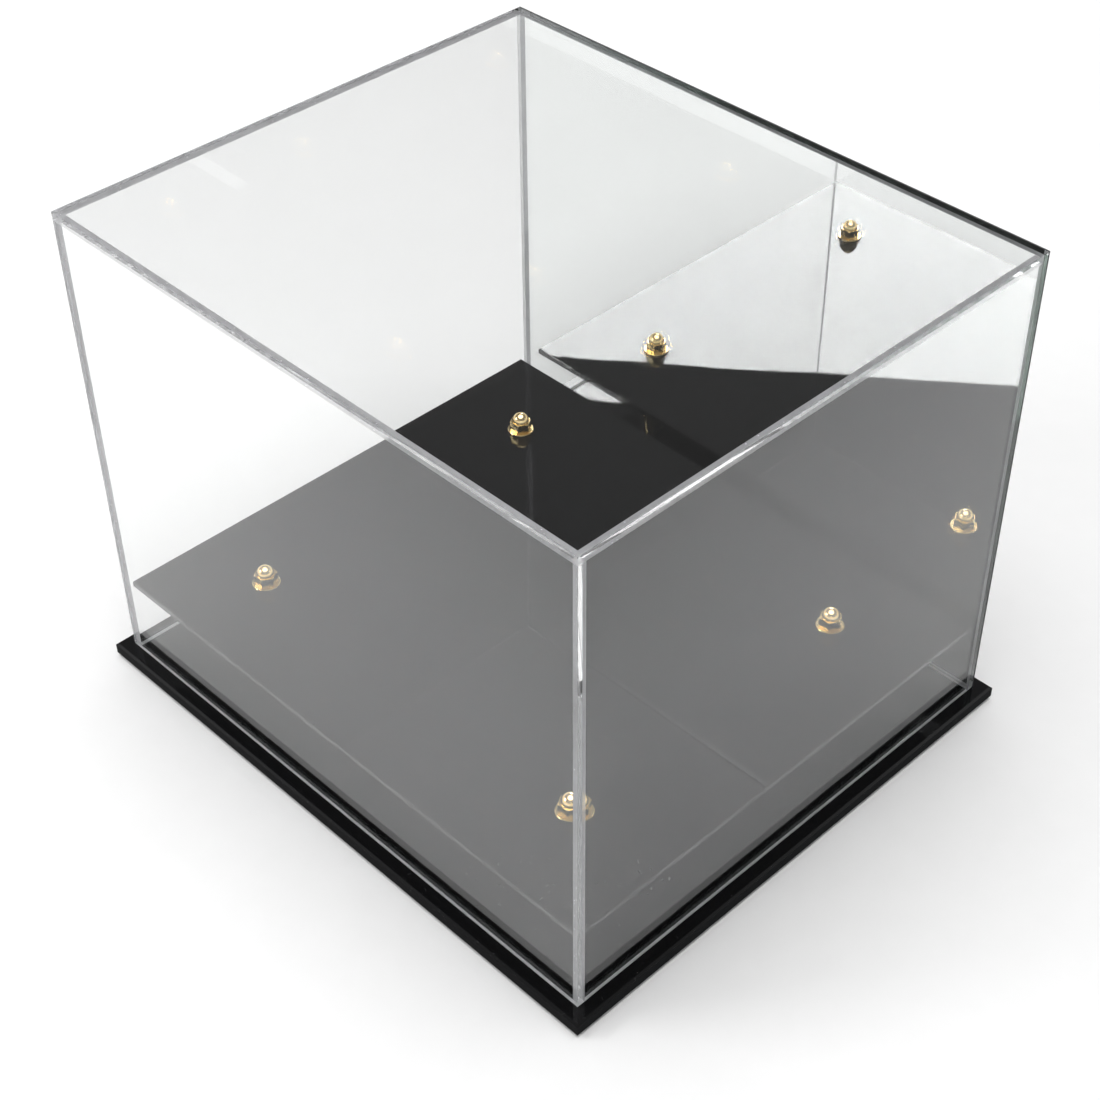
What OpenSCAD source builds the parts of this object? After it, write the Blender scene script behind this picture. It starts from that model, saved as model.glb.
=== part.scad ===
// Tabletop display case: a clear five-sided cover with a mirrored back stands on a black base
// plate, round a raised black platform that four brass risers carry.
//
// Frame: +Z up, X to the right, -Y to the front. The origin is on the table under the middle of
// the case. Lengths are in millimetres.

/* [Cover] */
// Outside width of the cover, left to right
cover_w = 300; // [240:5:360]
// Outside depth of the cover, front to back
cover_d = 260; // [210:5:320]
// Height of the cover, from the base plate up
cover_h = 237; // [180:1:300]
// Thickness of the clear sheet that the front, the sides and the top are cut from
sheet_t = 4; // [3:0.5:6]
// Thickness of the mirrored sheet at the back
mirror_t = 3.2; // [2:0.2:5]
// Thickness of the protective layer behind the mirror
backing_t = 0.8; // [0.4:0.2:1.6]

/* [Base] */
// Thickness of the base plate
base_t = 6; // [5:0.5:10]
// How far the base plate shows beyond the cover on every side
base_ledge = 6.5; // [3:0.5:15]
// Bevel round the top edge of the base plate
base_bevel = 1; // [0.4:0.2:2]
// Diameter of a foot
foot_d = 12; // [8:1:20]
// Height of a foot, which is the gap under the base plate
foot_h = 2; // [1:0.5:5]
// Distance from the edges of the base plate to the middle of a foot
foot_inset = 14; // [11:1:30]

/* [Platform] */
// Height of the platform's top above the base plate
platform_rise = 41; // [25:1:60]
// Thickness of the platform
platform_t = 3; // [2:0.5:5]
// Bevel round the top edge of the platform
platform_bevel = 0.4; // [0.2:0.1:0.8]
// Gap between the platform and the front and the sides of the cover
platform_gap = 1; // [0.5:0.1:3]
// Gap between the platform and the mirror
platform_back_gap = 5; // [0.5:0.5:8]

/* [Risers] */
// Diameter of a riser
riser_d = 13; // [11:0.5:20]
// Distance between the left and the right risers
riser_span_x = 200; // [120:2:204]
// Distance between the front and the back risers
riser_span_y = 160; // [100:2:164]

/* [Fasteners] */
// Diameter of a riser screw
screw_d = 5; // [4:0.5:6]
// Width across the flats of a cap nut
nut_flats = 9.5; // [9:0.5:12]
// Height of the six-sided part of a cap nut
nut_hex_h = 5; // [3:0.5:6]
// Diameter of a washer
washer_d = 13; // [12:0.5:18]
// Thickness of a washer
washer_t = 1.2; // [0.8:0.2:2]

/* [Hidden] */
$fn = 64;

cut = 1;           // how far a cutting shape runs past the solid it cuts
hole_play = 0.5;   // a clearance hole is this much wider than the screw
thread_play = 0.1; // the plain bore of a nut is this much wider than the screw

base_w = cover_w + 2 * base_ledge;
base_d = cover_d + 2 * base_ledge;
base_top = foot_h + base_t;
foot_edge = 0.5;   // bevel round the bottom of a foot

back_t = mirror_t + backing_t;
inside_w = cover_w - 2 * sheet_t;
inside_d = cover_d - sheet_t - back_t;
inside_y = (back_t - sheet_t) / -2;
wall_h = cover_h - sheet_t;
mirror_y = cover_d / 2 - back_t;

platform_w = inside_w - 2 * platform_gap;
platform_front = sheet_t + platform_gap - cover_d / 2;
platform_back = mirror_y - platform_back_gap;
platform_d = platform_back - platform_front;
platform_y = (platform_front + platform_back) / 2;
platform_top = base_top + platform_rise;
platform_bottom = platform_top - platform_t;
riser_h = platform_bottom - base_top;
riser_edge = 0.4;  // bevel round the ends of a riser

screw_hole_d = screw_d + hole_play;
head_d = 2 * screw_d;
head_h = 0.55 * screw_d;
key_flats = 0.6 * screw_d;
key_depth = 0.4 * screw_d;
grip = nut_hex_h + 0.3; // length of screw inside its nut
screw_top = platform_top + washer_t + grip;

nut_base = platform_top + washer_t;
dome_r = 0.44 * nut_flats;
nut_bore_h = grip + 0.4;
washer_edge = 0.2; // bevel round a washer

LEFT = -1;
RIGHT = 1;
FRONT = -1;
BACK = 1;

// A plate that stands on z = 0, centred on the axis, with a bevel round its top edge.
module bevelled_plate(w, d, t, bevel) {
    intersection() {
        rotate([90, 0, 0])
            linear_extrude(height = d, center = true)
                bevelled_side(w, t, bevel);
        rotate([90, 0, 90])
            linear_extrude(height = w, center = true)
                bevelled_side(d, t, bevel);
    }
}

// The side view of such a plate.
module bevelled_side(w, t, bevel) {
    polygon([
        [-w / 2, 0],
        [w / 2, 0],
        [w / 2, t - bevel],
        [w / 2 - bevel, t],
        [-w / 2 + bevel, t],
        [-w / 2, t - bevel]
    ]);
}

// A disc from z = 0 up, with a bevel round its bottom, its top or both.
module turned_disc(d, h, bottom_bevel, top_bevel) {
    rotate_extrude()
        polygon([
            [0, 0],
            [d / 2 - bottom_bevel, 0],
            [d / 2, bottom_bevel],
            [d / 2, h - top_bevel],
            [d / 2 - top_bevel, h],
            [0, h]
        ]);
}

// Puts its child on the axis of each of the four risers, which stand evenly under the platform.
module at_risers() {
    for (side = [LEFT, RIGHT], end = [FRONT, BACK])
        at_riser(side, end) children();
}

module at_riser(side, end) {
    translate([side * riser_span_x / 2, platform_y + end * riser_span_y / 2, 0]) children();
}

module screw_holes() {
    at_risers() cylinder(d = screw_hole_d, h = platform_top + cut);
}

// The cone that a countersunk head sinks into; it grows wider towards the table.
module head_cone(play) {
    translate([0, 0, foot_h])
        cylinder(d1 = head_d + play, d2 = screw_d + play, h = head_h);
}

module base_plate() {
    color([0.02, 0.02, 0.022])
        difference() {
            translate([0, 0, foot_h]) bevelled_plate(base_w, base_d, base_t, base_bevel);
            screw_holes();
            at_risers() head_cone(hole_play);
        }
}

module foot(side, end) {
    color([0.1, 0.1, 0.1])
        translate([side * (base_w / 2 - foot_inset), end * (base_d / 2 - foot_inset), 0])
            turned_disc(foot_d, foot_h, foot_edge, 0);
}

module platform() {
    color([0.02, 0.02, 0.022])
        difference() {
            translate([0, platform_y, platform_bottom])
                bevelled_plate(platform_w, platform_d, platform_t, platform_bevel);
            screw_holes();
        }
}

module riser(side, end) {
    color([0.85, 0.64, 0.25])
        at_riser(side, end)
            translate([0, 0, base_top])
                difference() {
                    turned_disc(riser_d, riser_h, riser_edge, riser_edge);
                    translate([0, 0, -cut]) cylinder(d = screw_hole_d, h = riser_h + 2 * cut);
                }
}

// Countersunk screws: each runs from the bottom of the base up through its riser into its nut.
module riser_screws() {
    color([0.75, 0.75, 0.77])
        at_risers()
            difference() {
                union() {
                    translate([0, 0, foot_h]) cylinder(d = screw_d, h = screw_top - foot_h);
                    head_cone(0);
                }
                translate([0, 0, foot_h - cut])
                    cylinder(d = key_flats / cos(30), h = key_depth + cut, $fn = 6);
            }
}

module washers() {
    color([0.85, 0.64, 0.25])
        at_risers()
            translate([0, 0, platform_top])
                difference() {
                    turned_disc(washer_d, washer_t, washer_edge, washer_edge);
                    translate([0, 0, -cut]) cylinder(d = screw_hole_d, h = washer_t + 2 * cut);
                }
}

// Domed nuts: a hexagon whose corners are turned off at both ends, with a round cap on top.
module cap_nuts() {
    corner_d = nut_flats / cos(30);
    color([0.85, 0.64, 0.25])
        at_risers()
            translate([0, 0, nut_base])
                difference() {
                    union() {
                        intersection() {
                            cylinder(d = corner_d, h = nut_hex_h, $fn = 6);
                            turned_disc(corner_d, nut_hex_h, corner_d * 0.05, corner_d * 0.05);
                        }
                        nut_dome();
                    }
                    translate([0, 0, -cut])
                        cylinder(d = screw_d + thread_play, h = nut_bore_h + cut);
                }
}

module nut_dome() {
    translate([0, 0, nut_hex_h])
        intersection() {
            sphere(r = dome_r);
            translate([0, 0, -cut / 2]) cylinder(r = dome_r, h = dome_r + cut);
        }
}

module clear_colour() {
    color([0.86, 0.9, 0.92, 0.35]) children();
}

module front_panel() {
    clear_colour()
        translate([-cover_w / 2, -cover_d / 2, base_top])
            cube([cover_w, sheet_t, wall_h]);
}

// The two sides stand between the front and the mirror, under the top.
module side_panel(side) {
    clear_colour()
        translate([side * (cover_w - sheet_t) / 2, inside_y, base_top + wall_h / 2])
            cube([sheet_t, inside_d, wall_h], center = true);
}

module top_panel() {
    clear_colour()
        translate([-cover_w / 2, -cover_d / 2, base_top + wall_h])
            cube([cover_w, cover_d - back_t, sheet_t]);
}

module mirror_panel() {
    color([0.8, 0.82, 0.83])
        translate([-cover_w / 2, mirror_y, base_top])
            cube([cover_w, mirror_t, cover_h]);
}

module mirror_backing() {
    color([0.05, 0.05, 0.055])
        translate([-cover_w / 2, mirror_y + mirror_t, base_top])
            cube([cover_w, backing_t, cover_h]);
}

base_plate();
platform();
riser(LEFT, FRONT);  // riser_front_left
riser(RIGHT, FRONT);  // riser_front_right
riser(LEFT, BACK);  // riser_back_left
riser(RIGHT, BACK);  // riser_back_right
riser_screws();
washers();
cap_nuts();
foot(LEFT, FRONT);  // foot_front_left
foot(RIGHT, FRONT);  // foot_front_right
foot(LEFT, BACK);  // foot_back_left
foot(RIGHT, BACK);  // foot_back_right
front_panel();
side_panel(LEFT);  // left_panel
side_panel(RIGHT);  // right_panel
top_panel();
mirror_panel();
mirror_backing();
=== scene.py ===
# %% [markdown]
# # A tabletop display case with a mirrored back
#
# The real object is a cover of clear acrylic sheet, glued edge to edge, whose back is a mirror. It
# stands loose on a black base plate, round a black platform that four brass risers carry. The
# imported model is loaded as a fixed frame. It already has every shape that is turned, drilled or
# bevelled, so this lesson spends its effort on the sheets and on the finishes: thick clear sheet
# looks real only when light can travel inside it.

# %% Load the frame and keep its box
import math

import bpy
import numpy as np
from mathutils import Matrix, Vector


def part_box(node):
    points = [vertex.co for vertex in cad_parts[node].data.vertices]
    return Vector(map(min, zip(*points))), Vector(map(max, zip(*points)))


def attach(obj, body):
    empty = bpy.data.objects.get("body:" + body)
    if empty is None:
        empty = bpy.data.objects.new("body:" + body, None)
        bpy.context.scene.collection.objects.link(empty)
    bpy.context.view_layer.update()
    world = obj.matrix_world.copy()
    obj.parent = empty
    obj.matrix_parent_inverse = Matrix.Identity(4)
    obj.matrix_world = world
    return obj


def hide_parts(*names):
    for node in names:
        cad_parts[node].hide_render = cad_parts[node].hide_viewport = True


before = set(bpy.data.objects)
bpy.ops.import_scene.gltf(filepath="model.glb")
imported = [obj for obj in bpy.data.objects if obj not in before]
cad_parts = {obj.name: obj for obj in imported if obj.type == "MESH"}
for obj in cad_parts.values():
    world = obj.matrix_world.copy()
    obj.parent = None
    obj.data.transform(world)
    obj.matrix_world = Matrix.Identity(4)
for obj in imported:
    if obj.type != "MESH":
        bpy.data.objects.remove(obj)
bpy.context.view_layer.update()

MM = 0.001
scene = bpy.context.scene

# %% [markdown]
# ## Small tools for materials
#
# A material is a tree of nodes. Building one by hand takes many lines that say the same thing, so
# a few helpers make a node, join two sockets and start a node group. A group is an effect that
# several materials share, such as wipe marks: it has named inputs and outputs, and each material
# places it with its own values.

# %% Helpers for nodes, links and groups
def add(tree, kind, values=None, **settings):
    """Makes a node, sets its properties from settings and its sockets from values."""
    node = tree.nodes.new(kind)
    for key, value in settings.items():
        setattr(node, key, value)
    for socket, value in (values or {}).items():
        node.inputs[socket].default_value = value
    return node


def join(tree, source, target):
    tree.links.new(source, target)


def new_group(name, inputs, output):
    """Starts a group with one output. inputs maps each name to its default number."""
    group = bpy.data.node_groups.new(name, "ShaderNodeTree")
    group.interface.new_socket("Vector", in_out="INPUT", socket_type="NodeSocketVector")
    for label, default in inputs.items():
        socket = group.interface.new_socket(label, in_out="INPUT", socket_type="NodeSocketFloat")
        socket.default_value = default
    group.interface.new_socket(output, in_out="OUTPUT", socket_type="NodeSocketFloat")
    given = group.nodes.new("NodeGroupInput").outputs
    result = group.nodes.new("NodeGroupOutput").inputs[output]
    return group, given, result


def place(tree, group, vector, **values):
    """Places a group in a material, reads its pattern from vector and sets its other inputs."""
    node = add(tree, "ShaderNodeGroup", node_tree=group)
    join(tree, vector, node.inputs["Vector"])
    for label, value in values.items():
        node.inputs[label].default_value = value
    return node.outputs[0]


def ramp_value(tree, source, low, high, out_low=0.0, out_high=1.0):
    """Maps source from low..high to out_low..out_high and holds the ends."""
    values = {"From Min": low, "From Max": high, "To Min": out_low, "To Max": out_high}
    node = add(tree, "ShaderNodeMapRange", values)
    join(tree, source, node.inputs["Value"])
    return node.outputs["Result"]


def calculate(tree, operation, first, second):
    """A Math node. Each operand is a socket or a number."""
    node = add(tree, "ShaderNodeMath", operation=operation)
    for socket, operand in zip(node.inputs, (first, second)):
        if isinstance(operand, (int, float)):
            socket.default_value = operand
        else:
            join(tree, operand, socket)
    return node.outputs["Value"]


def stretched(tree, source, scale, turn=(0, 0, 0)):
    """Coordinates turned and then scaled, so that a pattern is drawn out along some axes."""
    turned = add(tree, "ShaderNodeMapping", {"Rotation": turn})
    join(tree, source, turned.inputs["Vector"])
    scaled = add(tree, "ShaderNodeMapping", {"Scale": scale})
    join(tree, turned.outputs["Vector"], scaled.inputs["Vector"])
    return scaled.outputs["Vector"]


def noise(tree, vector, scale, detail=2.0):
    """A cloud of values from 0 to 1. scale is how many blobs lie in a metre: a number or a socket."""
    node = add(tree, "ShaderNodeTexNoise", {"Detail": detail})
    join(tree, vector, node.inputs["Vector"])
    if isinstance(scale, (int, float)):
        node.inputs["Scale"].default_value = scale
    else:
        join(tree, scale, node.inputs["Scale"])
    return node.outputs["Fac"]

# %% [markdown]
# ## Effects that several finishes share
#
# Polished acrylic is never quite clean. A cloth leaves faint streaks that show only where
# something bright is reflected, so they belong in the roughness. Handling leaves hairlines, and
# the sheet itself isn't perfectly flat: it was cast against glass and ripples by a few hundredths
# of a millimetre, which makes reflected edges wave a little.

# %% Group: wipe marks
wipe_marks, given, result = new_group(
    "wipe_marks", {"Scale": 12.0, "Clean": 0.0, "Amount": 0.02}, "Roughness")
patches = noise(wipe_marks, given["Vector"], given["Scale"])
streak_way = stretched(wipe_marks, given["Vector"], (9.0, 60.0, 22.0), (0.4, 0.5, 0.6))
streaks = noise(wipe_marks, streak_way, 1.0, 3.0)
marks = calculate(wipe_marks, "MULTIPLY",
                  ramp_value(wipe_marks, patches, 0.45, 0.72),
                  ramp_value(wipe_marks, streaks, 0.35, 0.75))
marks = calculate(wipe_marks, "MULTIPLY", marks, given["Amount"])
join(wipe_marks, calculate(wipe_marks, "ADD", marks, given["Clean"]), result)

# %% Group: ripple of a cast sheet
sheet_ripple, given, result = new_group("sheet_ripple", {"Scale": 14.0}, "Height")
join(sheet_ripple, noise(sheet_ripple, given["Vector"], given["Scale"], 1.0), result)

# %% Group: hairline scratches
HAIR_TURNS = ((0.3, 0.2, 0.5), (-0.5, 0.4, -0.9), (0.1, -0.6, 1.9))
HAIR_STRETCH = (14.0, 900.0, 900.0)
hairlines, given, result = new_group("hairlines", {"Threshold": 0.82}, "Mask")
hair_sum = 0.0
for turn in HAIR_TURNS:
    along = stretched(hairlines, given["Vector"], HAIR_STRETCH, turn)
    hair = calculate(hairlines, "GREATER_THAN", noise(hairlines, along, 1.0, 0.0), given["Threshold"])
    hair_sum = calculate(hairlines, "ADD", hair, hair_sum)
join(hairlines, hair_sum, result)

# %% [markdown]
# Dust settles as single grains. Voronoi cells give one grain to a cell: the distance to the
# cell's point makes the round grain, and a random value of the cell leaves most cells empty.

# %% Group: dust
dust, given, result = new_group("dust", {"Scale": 400.0, "Cover": 0.1, "Size": 0.16}, "Mask")
cells = add(dust, "ShaderNodeTexVoronoi")
join(dust, given["Vector"], cells.inputs["Vector"])
join(dust, given["Scale"], cells.inputs["Scale"])
cell_value = add(dust, "ShaderNodeSeparateColor")
join(dust, cells.outputs["Color"], cell_value.inputs["Color"])
filled = calculate(dust, "LESS_THAN", cell_value.outputs["Red"], given["Cover"])
grain_size = calculate(dust, "MULTIPLY", cell_value.outputs["Green"], given["Size"])
grain = calculate(dust, "LESS_THAN", cells.outputs["Distance"], grain_size)
join(dust, calculate(dust, "MULTIPLY", grain, filled), result)

# %% [markdown]
# A saw leaves fine parallel marks on a cut edge, and a lathe leaves fine rings on a turned part.
# Both are a wave along one axis with a little noise mixed in, so one group serves both. Its bands
# follow Z, which is the axis of every turned part here.

# %% Group: tool marks
tool_marks, given, result = new_group("tool_marks", {"Scale": 900.0, "Uneven": 0.5}, "Height")
wave = add(tool_marks, "ShaderNodeTexWave", {"Distortion": 0.6, "Detail": 2.0},
           wave_type="BANDS", bands_direction="Z")
join(tool_marks, given["Vector"], wave.inputs["Vector"])
join(tool_marks, given["Scale"], wave.inputs["Scale"])
grit = noise(tool_marks, given["Vector"], given["Scale"], 3.0)
uneven = calculate(tool_marks, "MULTIPLY", grit, given["Uneven"])
join(tool_marks, calculate(tool_marks, "ADD", wave.outputs["Fac"], uneven), result)
print("shared effects:", [group.name for group in bpy.data.node_groups])

# %% [markdown]
# ## Starting a material
#
# Every material starts the same way: a Principled shader and the Object coordinates of the piece.
# Values that are the same all over the surface go straight onto the shader's sockets, and only
# what changes over the surface comes through nodes.

# %% Helpers that start a material, bump its surface and mix two colours
def new_material(name, values):
    material = bpy.data.materials.new(name)
    material.use_nodes = True
    tree = material.node_tree
    shader = tree.nodes["Principled BSDF"]
    for socket, value in values.items():
        shader.inputs[socket].default_value = value
    where = add(tree, "ShaderNodeTexCoord").outputs
    return material, tree, shader.inputs, where


def bump(tree, shader, height, depth):
    """Raises the surface by depth metres where height is 1."""
    node = add(tree, "ShaderNodeBump", {"Distance": depth})
    join(tree, height, node.inputs["Height"])
    join(tree, node.outputs["Normal"], shader["Normal"])


def blend_colours(tree, mask, first, second):
    """Goes from the first colour to the second one as mask goes from 0 to 1."""
    node = add(tree, "ShaderNodeMix", data_type="RGBA")
    join(tree, mask, node.inputs["Factor"])
    colours = [socket for socket in node.inputs if socket.type == "RGBA"]
    for socket, colour in zip(colours, (first, second)):
        socket.default_value = (*colour, 1.0)
    return [socket for socket in node.outputs if socket.type == "RGBA"][0]

# %% [markdown]
# ## Clear acrylic
#
# Acrylic bends light a little less than window glass does, with an index of 1.49. The sheets are
# real solids 4 mm thick, so the light inside them is bent and reflected as in the real sheet. The
# wipe marks and the ripple are added to that.

# %% Material: clear acrylic sheet
ACRYLIC_IOR = 1.49
clear_acrylic, tree, shader, where = new_material("clear_acrylic", {
    "Base Color": (0.994, 0.998, 0.997, 1.0), "IOR": ACRYLIC_IOR, "Transmission Weight": 1.0})
join(tree, place(tree, wipe_marks, where["Object"], Scale=11.0, Clean=0.0, Amount=0.025),
     shader["Roughness"])
bump(tree, shader, place(tree, sheet_ripple, where["Object"], Scale=12.0), 0.05 * MM)

# %% [markdown]
# Where two sheets meet, a thin cement melts them into one. Light passes the joint almost freely,
# but small bubbles and the uneven film scatter some of it, and that gives the edges of such a
# case their pale line. The joint's faces get a half see-through white: Alpha says how much of the
# surface is cement at all, and it varies from place to place.

# %% Material: cemented joint
cement_joint, tree, shader, where = new_material("cement_joint", {
    "Base Color": (0.96, 0.96, 0.98, 1.0), "Roughness": 0.6, "IOR": ACRYLIC_IOR})
film = noise(tree, where["Object"], 45.0, 3.0)
bubbles = place(tree, dust, where["Object"], Scale=900.0, Cover=0.12, Size=0.4)
cement = calculate(tree, "MAXIMUM", ramp_value(tree, film, 0.3, 0.7, 0.42, 0.55), bubbles)
join(tree, cement, shader["Alpha"])

# %% [markdown]
# The bottom ends of the walls are left as the saw cut them, because nobody sees them once the
# cover stands on its base. They are frosted, so they catch the light that travels down inside the
# sheet and send it back: this is the pale band along the foot of every wall.

# %% Material: sawn end of a clear sheet
sawn_end, tree, shader, where = new_material("sawn_end", {"Specular IOR Level": 0.1})
saw_lines = place(tree, tool_marks, stretched(tree, where["Object"], (1, 1, 1), (0, 1.2, 0.7)),
                  Scale=500.0, Uneven=0.7)
join(tree, blend_colours(tree, saw_lines, (0.74, 0.76, 0.78), (0.95, 0.96, 0.97)),
     shader["Base Color"])
join(tree, ramp_value(tree, saw_lines, 0.0, 1.5, 0.55, 0.85), shader["Roughness"])
bump(tree, shader, saw_lines, 0.03 * MM)

# %% [markdown]
# ## Mirror
#
# A mirrored sheet is clear acrylic with metal on its rear face, under a coat of dark paint. So the
# sheet's rear face gets a metal, seen from inside the sheet, and the paint is a piece of its own.

# %% Materials: silvering and its protective paint
silvering, tree, shader, where = new_material("silvering", {"Metallic": 1.0})
tarnish = ramp_value(tree, noise(tree, where["Object"], 9.0), 0.35, 0.7)
join(tree, blend_colours(tree, tarnish, (0.95, 0.96, 0.955), (0.93, 0.94, 0.935)),
     shader["Base Color"])
join(tree, place(tree, wipe_marks, where["Object"], Scale=8.0, Clean=0.0, Amount=0.01),
     shader["Roughness"])
bump(tree, shader, place(tree, sheet_ripple, where["Object"], Scale=9.0), 0.05 * MM)

backing_paint, tree, shader, where = new_material("backing_paint", {"Specular IOR Level": 0.35})
peel = noise(tree, where["Object"], 700.0, 3.0)
cloudy = ramp_value(tree, noise(tree, where["Object"], 25.0, 4.0), 0.3, 0.7)
join(tree, blend_colours(tree, cloudy, (0.018, 0.018, 0.02), (0.03, 0.03, 0.033)),
     shader["Base Color"])
join(tree, ramp_value(tree, peel, 0.3, 0.7, 0.5, 0.68), shader["Roughness"])
bump(tree, shader, peel, 0.04 * MM)

# %% [markdown]
# ## Black acrylic
#
# The plates are polished on their faces, but their edges are only milled, so they stay dull. One
# material can do both: the base of the shader is dull and black, and a clear coat on top carries
# the polish. The coat's weight follows the direction that the surface faces, full on what faces up
# or down and thin on what faces sideways.

# %% Material: black acrylic plate
SCRATCH_TONE = 0.12


def black_plate(name, edge_polish):
    """Black sheet. edge_polish is the weight of the polish on surfaces that face sideways."""
    material, tree, shader, where = new_material(name, {
        "Specular IOR Level": 0.0, "Coat IOR": ACRYLIC_IOR, "Coat Roughness": 0.012})
    facing = add(tree, "ShaderNodeSeparateXYZ")
    join(tree, where["Normal"], facing.inputs["Vector"])
    upright = calculate(tree, "ABSOLUTE", facing.outputs["Z"], 0.0)
    join(tree, ramp_value(tree, upright, 0.3, 0.6, edge_polish, 1.0), shader["Coat Weight"])
    specks = place(tree, dust, where["Object"], Scale=420.0, Cover=0.05, Size=0.12)
    scratches = place(tree, hairlines, where["Object"], Threshold=0.84)
    pale = calculate(tree, "ADD", specks, calculate(tree, "MULTIPLY", scratches, SCRATCH_TONE))
    join(tree, blend_colours(tree, pale, (0.0042, 0.0042, 0.0046), (0.1, 0.1, 0.1)),
         shader["Base Color"])
    milled = place(tree, tool_marks, where["Object"], Scale=1400.0, Uneven=0.8)
    join(tree, ramp_value(tree, milled, 0.0, 1.5, 0.45, 0.7), shader["Roughness"])
    bump(tree, shader, place(tree, sheet_ripple, where["Object"], Scale=10.0), 0.05 * MM)
    return material


base_acrylic = black_plate("base_acrylic", 0.12)
platform_acrylic = black_plate("platform_acrylic", 1.0)

# %% [markdown]
# ## Brass, steel and rubber
#
# The risers, the washers and the nuts are polished brass under lacquer. Polish on metal means a
# low roughness, but hands and handling leave it a little dull in patches, and the lathe's rings
# stay faintly visible, so the highlight breaks up instead of lying there like a painted spot.

# %% Material: polished brass
gold_brass, tree, shader, where = new_material("gold_brass", {"Metallic": 1.0})
toned = ramp_value(tree, noise(tree, where["Object"], 160.0, 3.0), 0.35, 0.68)
join(tree, blend_colours(tree, toned, (1.0, 0.82, 0.48), (0.9, 0.66, 0.3)),
     shader["Base Color"])
join(tree, place(tree, wipe_marks, where["Object"], Scale=260.0, Clean=0.2, Amount=0.18),
     shader["Roughness"])
rings = place(tree, tool_marks, where["Object"], Scale=1500.0, Uneven=0.6)
bump(tree, shader, rings, 0.004 * MM)

# %% Material: plated screw steel
screw_steel, tree, shader, where = new_material("screw_steel", {"Metallic": 1.0})
toned = ramp_value(tree, noise(tree, where["Object"], 300.0, 3.0), 0.3, 0.7)
join(tree, blend_colours(tree, toned, (0.62, 0.62, 0.64), (0.48, 0.48, 0.5)),
     shader["Base Color"])
join(tree, place(tree, wipe_marks, where["Object"], Scale=200.0, Clean=0.24, Amount=0.2),
     shader["Roughness"])
bump(tree, shader, place(tree, tool_marks, where["Object"], Scale=1200.0, Uneven=0.8), 0.01 * MM)

# %% Material: foot rubber
foot_rubber, tree, shader, where = new_material("foot_rubber", {"Specular IOR Level": 0.3})
pebble = noise(tree, where["Object"], 900.0, 4.0)
lint = place(tree, dust, where["Object"], Scale=900.0, Cover=0.2, Size=0.2)
join(tree, blend_colours(tree, lint, (0.02, 0.02, 0.021), (0.14, 0.14, 0.14)),
     shader["Base Color"])
join(tree, ramp_value(tree, pebble, 0.3, 0.7, 0.7, 0.92), shader["Roughness"])
bump(tree, shader, pebble, 0.08 * MM)

# %% [markdown]
# ## Finishes on the parts that keep their CAD shape
#
# The turned and milled parts are already exact, so each keeps its mesh and only gets a finish. The
# names in the frame say what each part is. The screws' name starts with the risers' name, so it is
# looked up first.

# %% Assign the finishes
CAD_FINISHES = {
    "base_plate": base_acrylic,
    "platform": platform_acrylic,
    "riser_screws": screw_steel,
    "riser": gold_brass,
    "washers": gold_brass,
    "cap_nuts": gold_brass,
    "foot": foot_rubber,
    "mirror_backing": backing_paint,
}


def finish_for(node):
    """The finish whose key starts the node's name, or clear acrylic."""
    for start, material in CAD_FINISHES.items():
        if node.startswith(start):
            return material
    return clear_acrylic


for node, cad_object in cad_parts.items():
    cad_object.data.materials.clear()
    cad_object.data.materials.append(finish_for(node))
print("finished CAD parts:", sorted(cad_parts))

# %% [markdown]
# ## The sheets of the cover
#
# A glued case looks wrong if every sheet is a separate box, because light would be reflected at
# each hidden end. In the real cover the cement makes the sheets one body. So each sheet's surface
# is divided exactly where another sheet touches it, and the touching cells get the cement's
# finish instead of the clear one.
#
# The division needs no modelling by hand. The boxes of the sheets come from the frame, and every
# coordinate where some other sheet starts or ends becomes a cut.

# %% Boxes of the glued sheets
CLEAR_SHEETS = ["front_panel", "left_panel", "right_panel", "top_panel"]
GLUED = CLEAR_SHEETS + ["mirror_panel", "mirror_backing"]
sheet_box = {name: np.array(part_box(name), dtype=float) for name in GLUED}
TOUCH = 0.01 * MM
for name, (low, high) in sheet_box.items():
    print(name, "mm:", np.round((high - low) / MM, 2))

# %% Cuts and cells of one sheet
def cuts_of(name):
    """Where the sheet is divided: its own ends, and the ends of other sheets that lie between."""
    low, high = sheet_box[name]
    ends = np.concatenate([box for other, box in sheet_box.items() if other != name])
    cuts = []
    for axis in range(3):
        inside = ends[:, axis]
        inside = inside[(inside > low[axis] + TOUCH) & (inside < high[axis] - TOUCH)]
        line = np.concatenate([[low[axis]], np.sort(inside), [high[axis]]])
        cuts.append(line[np.append(True, np.diff(line) > TOUCH)])
    return cuts


def cells_of(cuts):
    """Corners of every cell on the six sides of a box, four to a cell.

    A side that faces along one axis lies at that axis's first or last cut. Its cells are the
    rectangles between neighbouring cuts of the other two axes, and their corners run
    anticlockwise seen from outside, so every face points outwards.
    """
    sides = []
    for axis in range(3):
        across, up = (axis + 1) % 3, (axis + 2) % 3
        low_a, low_u = np.meshgrid(cuts[across][:-1], cuts[up][:-1], indexing="ij")
        high_a, high_u = np.meshgrid(cuts[across][1:], cuts[up][1:], indexing="ij")
        ring_a = np.stack([low_a, high_a, high_a, low_a], axis=-1).reshape(-1, 4)
        ring_u = np.stack([low_u, low_u, high_u, high_u], axis=-1).reshape(-1, 4)
        for end in (0, -1):
            corners = np.empty((len(ring_a), 4, 3))
            corners[..., axis] = cuts[axis][end]
            corners[..., across] = ring_a
            corners[..., up] = ring_u
            sides.append(corners[:, ::-1] if end == 0 else corners)
    return np.concatenate(sides)

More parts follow.
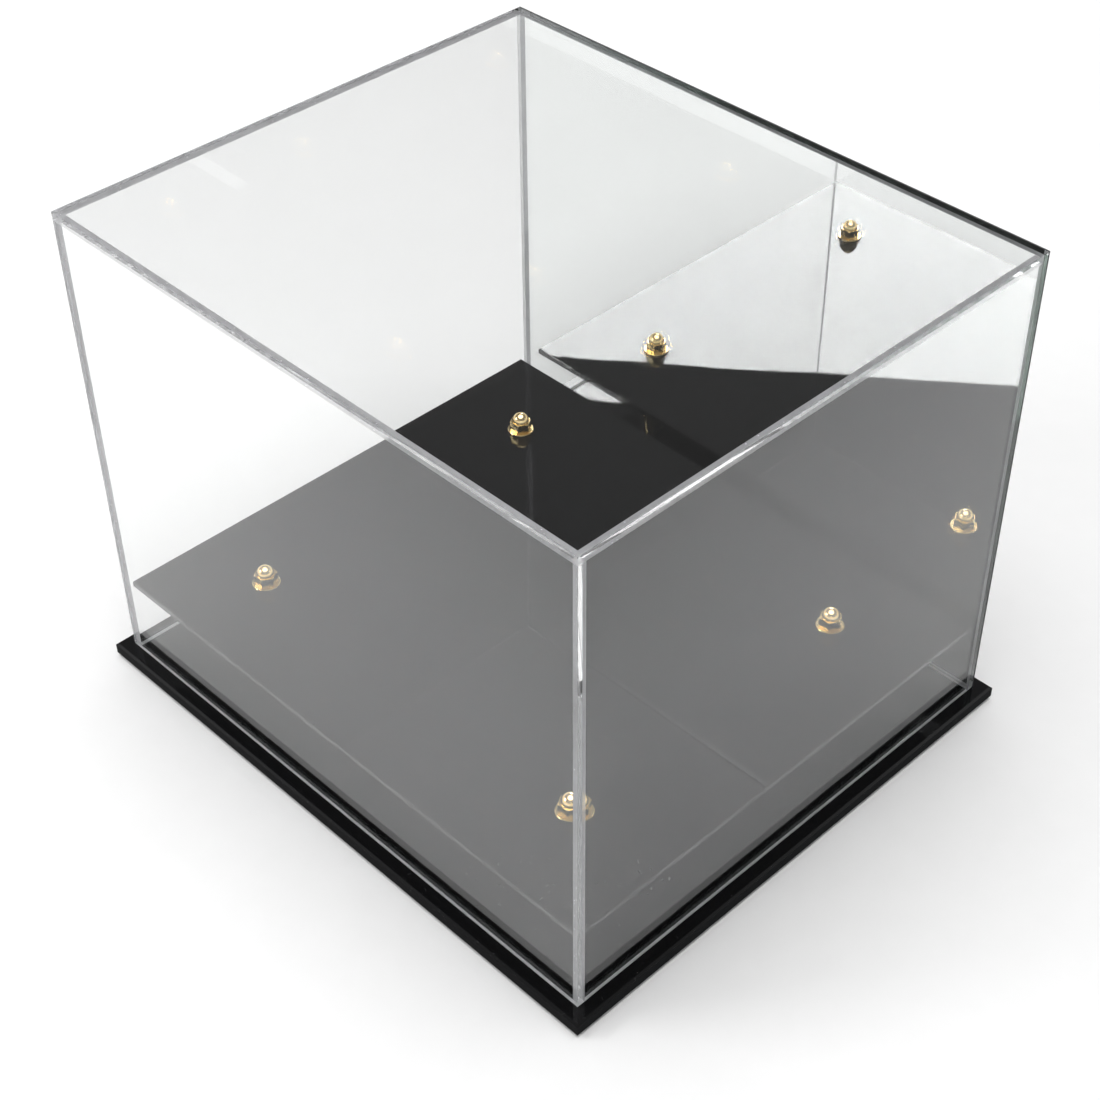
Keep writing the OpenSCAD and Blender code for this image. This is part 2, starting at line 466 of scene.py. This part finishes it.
# %% [markdown]
# Each cell then gets its finish. A cell whose middle lies in another sheet's box is a joint. On
# the mirror's rear the neighbour is the paint, so that cell is silvered. The cells at the height of
# the walls' foot are the sawn ends.

# %% Finish of every cell
CLEAR, JOINT, SILVER, SAWN = range(4)
SHEET_FINISHES = [clear_acrylic, cement_joint, silvering, sawn_end]
WALL_FOOT = sheet_box["front_panel"][0][2]


def cell_finishes(name, corners):
    """The index in SHEET_FINISHES of every cell."""
    middle = corners.mean(axis=1)
    finish = np.full(len(corners), CLEAR)
    finish[middle[:, 2] < WALL_FOOT + TOUCH] = SAWN
    for other, (low, high) in sheet_box.items():
        if other == name:
            continue
        touching = np.all((middle > low - TOUCH) & (middle < high + TOUCH), axis=1)
        finish[touching] = SILVER if other == "mirror_backing" else JOINT
    return finish

# %% [markdown]
# The cells are welded into one closed surface. The edges that nobody glued are broken with a fine
# bevel, as a maker does with a scraper, because a perfectly sharp edge never catches the light.
# The Bevel modifier reads a weight for each edge: 1 where the surface folds and neither face is
# glued, 0 everywhere else.

# %% Weld the cells and weigh the edges
FLAT_SUM = 1.9


def welded(corners):
    """Points without doubles, and for each cell the numbers of its four points."""
    flat = np.round(corners.reshape(-1, 3) / TOUCH).astype(np.int64)
    _, first, number = np.unique(flat, axis=0, return_index=True, return_inverse=True)
    return corners.reshape(-1, 3)[first], number.reshape(-1, 4)


def weigh_edges(mesh, glued):
    """Sets the bevel weight: an edge is broken if its faces meet at an angle and aren't glued.

    The two faces' unit normals add up to a length of 2 where the surface runs on flat, and of
    about 1.4 where it folds by a right angle. Anything below FLAT_SUM counts as a fold.
    """
    edge_of_corner = np.empty(len(mesh.loops), dtype=np.int32)
    mesh.loops.foreach_get("edge_index", edge_of_corner)
    normals = np.empty(len(mesh.polygons) * 3)
    mesh.polygons.foreach_get("normal", normals)
    face_of_corner = np.repeat(np.arange(len(mesh.polygons)), 4)
    total = np.zeros((len(mesh.edges), 3))
    np.add.at(total, edge_of_corner, normals.reshape(-1, 3)[face_of_corner])
    touches_glue = np.zeros(len(mesh.edges), dtype=bool)
    np.logical_or.at(touches_glue, edge_of_corner, glued[face_of_corner])
    weight = (np.linalg.norm(total, axis=1) < FLAT_SUM) & ~touches_glue
    layer = mesh.attributes.new("bevel_weight_edge", "FLOAT", "EDGE")
    layer.data.foreach_set("value", weight.astype(np.float32))
    return int(weight.sum())

# %% Make a mesh piece and break its edges
BREAK_SEGMENTS = 2


def mesh_piece(name, points, faces, finishes, finish_of_face):
    mesh = bpy.data.meshes.new(name)
    mesh.from_pydata(points.tolist(), [], faces.tolist())
    for material in finishes:
        mesh.materials.append(material)
    mesh.polygons.foreach_set("material_index", finish_of_face.astype(np.int32))
    mesh.update()
    piece = bpy.data.objects.new(name, mesh)
    scene.collection.objects.link(piece)
    return piece


def break_edges(piece, width):
    bevel = piece.modifiers.new("broken_edges", "BEVEL")
    bevel.limit_method = "WEIGHT"
    bevel.width = width
    bevel.segments = BREAK_SEGMENTS

# %% [markdown]
# One more detail decides how the sheets look. The cover stands loose on the base, so there is a
# film of air under the walls. Light that comes down inside a wall meets that air and turns back,
# or lights up the sawn end. The bottom of each visible sheet is therefore a tenth of a millimetre
# above the base.

# %% Build the clear sheets and the mirror sheet
AIR_FILM = 0.1 * MM
EDGE_BREAK = 0.25 * MM


def glued_sheet(name):
    corners = cells_of(cuts_of(name))
    finish = cell_finishes(name, corners)
    points, faces = welded(corners)
    foot = points[:, 2] < WALL_FOOT + TOUCH
    points[foot, 2] += AIR_FILM
    piece = mesh_piece(name + "_sheet", points, faces, SHEET_FINISHES, finish)
    broken = weigh_edges(piece.data, finish == JOINT)
    break_edges(piece, EDGE_BREAK)
    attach(piece, "cover")
    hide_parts(name)
    print(name, "cells:", len(faces), "joints:", int((finish == JOINT).sum()), "broken edges:", broken)


for name in CLEAR_SHEETS:
    glued_sheet(name)
glued_sheet("mirror_panel")

# %% [markdown]
# The paint behind the mirror starts just behind the silver, so that the two surfaces don't lie in
# the same plane, where a renderer can't tell which one comes first. It uses the same cells, with
# no cut in it.

# %% Build the paint layer
PAINT_GAP = 0.05 * MM
PAINT_BREAK = 0.15 * MM
low, high = sheet_box["mirror_backing"]
low = low + np.array([0.0, PAINT_GAP, AIR_FILM])
points, faces = welded(cells_of([np.array([low[axis], high[axis]]) for axis in range(3)]))
paint_layer = mesh_piece("mirror_backing_paint", points, faces, [backing_paint], np.zeros(len(faces)))
weigh_edges(paint_layer.data, np.zeros(len(faces), dtype=bool))
break_edges(paint_layer, PAINT_BREAK)
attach(paint_layer, "cover")
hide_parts("mirror_backing")

# %% [markdown]
# ## The studio
#
# The floor is one large pale sheet. The light is a wide soft source high overhead, and the rest
# of the room above the horizon is dim, so black gloss stays black where it mirrors the room. The
# clear walls mirror the bright floor instead, and that puts the grey veil over what stands
# behind them. A world shader does all of it: brightness is a function of how high a direction
# points, with a white band at the horizon, a dim ceiling and a bright cap.

# %% Floor
FLOOR_HALF = 5.0
corner = np.array([[-1, -1, 0], [1, -1, 0], [1, 1, 0], [-1, 1, 0]], dtype=float) * FLOOR_HALF
floor_finish, tree, shader, where = new_material("floor_paper", {"Specular IOR Level": 0.0})
fibres = ramp_value(tree, noise(tree, where["Object"], 60.0, 3.0), 0.3, 0.7)
join(tree, blend_colours(tree, fibres, (0.86, 0.86, 0.86), (0.87, 0.87, 0.87)), shader["Base Color"])
join(tree, ramp_value(tree, fibres, 0.0, 1.0, 0.9, 0.95), shader["Roughness"])
floor = mesh_piece("floor", corner, np.array([[0, 1, 2, 3]]), [floor_finish], np.zeros(1))

# %% Soft light from the world
CAP_BRIGHTNESS = 3.8
world = bpy.data.worlds.new("studio")
world.use_nodes = True
scene.world = world
tree = world.node_tree
direction = add(tree, "ShaderNodeTexCoord").outputs["Generated"]
height = add(tree, "ShaderNodeSeparateXYZ")
join(tree, direction, height.inputs["Vector"])
levels = add(tree, "ShaderNodeValToRGB")
levels.color_ramp.interpolation = "EASE"
SKY_LEVELS = ((0.27, 1.0), (0.44, 0.16), (0.85, 0.16), (0.9, CAP_BRIGHTNESS))
stops = levels.color_ramp.elements
while len(stops) < len(SKY_LEVELS):
    stops.new(0.5)
for stop, (place_of_stop, level) in zip(stops, SKY_LEVELS):
    stop.position = place_of_stop
for stop, (place_of_stop, level) in zip(stops, SKY_LEVELS):
    share = level / CAP_BRIGHTNESS
    stop.color = (share, share, share, 1.0)
join(tree, height.outputs["Z"], levels.inputs["Fac"])
background = tree.nodes["Background"]
join(tree, levels.outputs["Color"], background.inputs["Color"])
background.inputs["Strength"].default_value = CAP_BRIGHTNESS

# %% [markdown]
# A softbox stands on the front left, fairly low. It is small and bright, so a polished bevel that
# happens to mirror it towards the viewer shows a thin sharp line, while the flat faces beside the
# bevel stay dark. Which bevels do so depends on where the viewer stands: walk round the case and the
# line moves from one edge to another, and from some places there is none.

# %% Softbox
SOFTBOX_DIRECTION = Vector((-0.54, -0.66, 0.53)).normalized()
SOFTBOX_DISTANCE = 2.2
SOFTBOX_WIDTH = 0.9
SOFTBOX_HEIGHT = 0.35
SOFTBOX_WATTS = 14.0
softbox_data = bpy.data.lights.new("softbox", "AREA")
softbox_data.shape = "RECTANGLE"
softbox_data.size = SOFTBOX_WIDTH
softbox_data.size_y = SOFTBOX_HEIGHT
softbox_data.energy = SOFTBOX_WATTS
softbox = bpy.data.objects.new("softbox", softbox_data)
scene.collection.objects.link(softbox)
softbox.location = SOFTBOX_DIRECTION * SOFTBOX_DISTANCE
softbox.rotation_euler = SOFTBOX_DIRECTION.to_track_quat("Z", "Y").to_euler()

# %% [markdown]
# ## Camera
#
# The camera looks down on the front right corner with a moderate lens. Three angles turn it, its
# place is given in metres, and a small shift frames the case slightly off the middle.

# %% Camera
AZIMUTH, ELEVATION, ROLL = (math.radians(angle) for angle in (45.29, 41.18, -0.06))
CAMERA_PLACE = (0.5037, -0.4815, 0.6737)
SENSOR_MM = 36.0
LENS_MM = 66.73
camera_data = bpy.data.cameras.new("camera")
camera_data.sensor_width = SENSOR_MM
camera_data.lens = LENS_MM
camera_data.shift_x = -0.0224
camera_data.shift_y = 0.0225
camera = bpy.data.objects.new("camera", camera_data)
scene.collection.objects.link(camera)
scene.camera = camera
towards_camera = Vector((math.sin(AZIMUTH) * math.cos(ELEVATION),
                         -math.cos(AZIMUTH) * math.cos(ELEVATION),
                         math.sin(ELEVATION)))
turn = towards_camera.to_track_quat("Z", "Y").to_matrix() @ Matrix.Rotation(ROLL, 3, "Z")
camera.rotation_euler = turn.to_euler()
camera.location = CAMERA_PLACE

# %% [markdown]
# Light in a thick sheet is reflected dozens of times before it comes out, so the number of
# bounces has to be high or the edges turn black.

# %% Light paths
LONG_PATH = 200
scene.cycles.max_bounces = LONG_PATH
scene.cycles.transmission_bounces = LONG_PATH
scene.cycles.glossy_bounces = LONG_PATH
scene.cycles.transparent_max_bounces = LONG_PATH
scene.view_settings.view_transform = "Standard"
